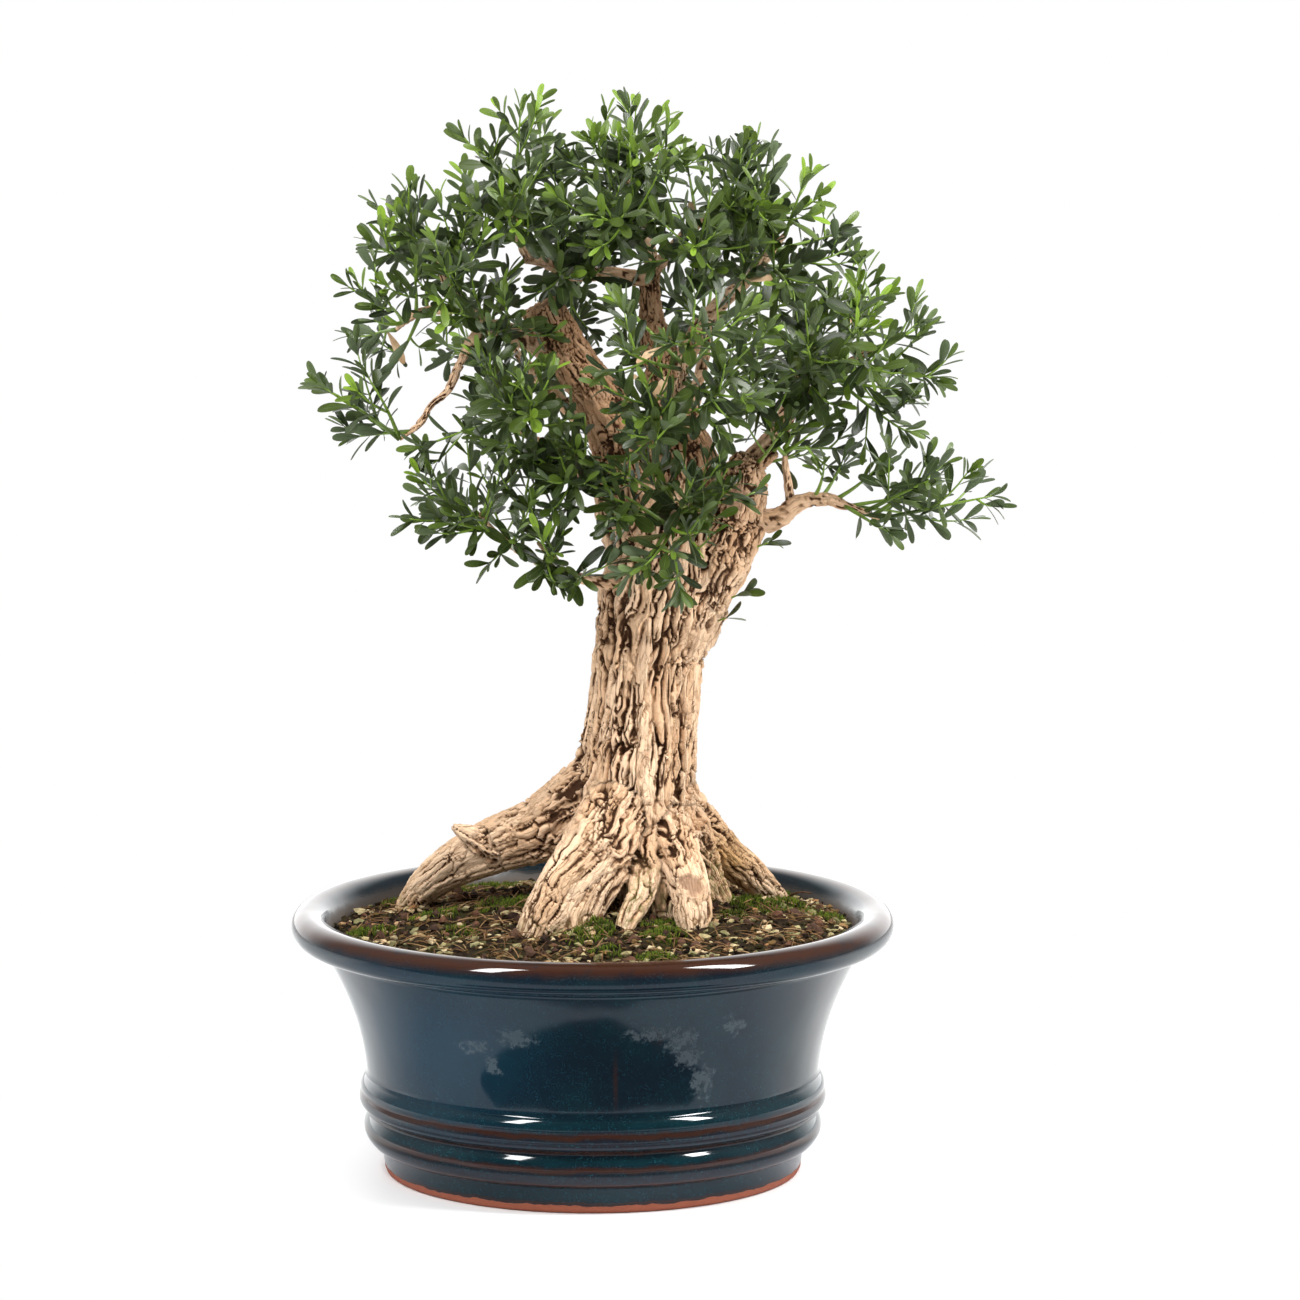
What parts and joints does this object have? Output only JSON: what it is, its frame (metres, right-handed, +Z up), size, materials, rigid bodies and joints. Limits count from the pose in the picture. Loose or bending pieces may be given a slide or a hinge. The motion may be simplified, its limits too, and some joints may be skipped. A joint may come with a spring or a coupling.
{
  "type": "chinese boxwood bonsai",
  "caption": "Small-leaved boxwood bonsai with a deeply ridged pale trunk, spreading surface roots and airy leaf sprays, growing in a round glazed pot with two ribs and a rolled lip.",
  "frame": {"origin": "centre of the pot's flat base, on the surface that it stands on", "axes": "+Z up along the pot's axis, +X to the tree's right as it is shown, -Y towards its front"},
  "size_m": [0.4394, 0.364, 0.6571],
  "materials": {
    "glaze": "very glossy dark navy-teal glaze with fine blue specks, brown where thin, bare red clay at the base",
    "screen": "black plastic mesh",
    "soil": "dark granular soil with pumice, lava grit, litter and moss",
    "bark": "dry pale cream-tan bark in deep upright plates with dark fissures",
    "leaf": "leathery, semi-glossy dark green with lighter young tips"
  },
  "bodies": {
    "root": {"pot": "glaze", "drain_screen_left": "screen", "drain_screen_right": "screen", "soil": "soil", "trunk": "bark", "spray_01": "leaf", "spray_02": "leaf", "spray_03": "leaf", "spray_04": "leaf", "spray_05": "leaf", "spray_06": "leaf", "spray_07": "leaf", "spray_08": "leaf", "spray_09": "leaf", "spray_10": "leaf", "spray_11": "leaf", "spray_12": "leaf", "spray_13": "leaf", "spray_14": "leaf", "spray_15": "leaf", "spray_16": "leaf", "spray_17": "leaf", "spray_18": "leaf", "spray_19": "leaf", "spray_20": "leaf", "spray_21": "leaf", "spray_22": "leaf", "spray_23": "leaf", "spray_24": "leaf", "spray_25": "leaf", "spray_26": "leaf", "spray_27": "leaf", "spray_28": "leaf", "spray_29": "leaf", "spray_30": "leaf", "spray_31": "leaf", "spray_32": "leaf", "spray_33": "leaf", "spray_34": "leaf", "spray_35": "leaf", "spray_36": "leaf", "spray_37": "leaf", "spray_38": "leaf", "spray_39": "leaf", "spray_40": "leaf", "spray_41": "leaf", "spray_42": "leaf", "spray_43": "leaf", "spray_44": "leaf", "spray_45": "leaf", "spray_46": "leaf", "spray_47": "leaf", "spray_48": "leaf", "spray_49": "leaf", "spray_50": "leaf", "spray_51": "leaf", "spray_52": "leaf", "spray_53": "leaf", "spray_54": "leaf", "spray_55": "leaf"}
  },
  "joints": []
}
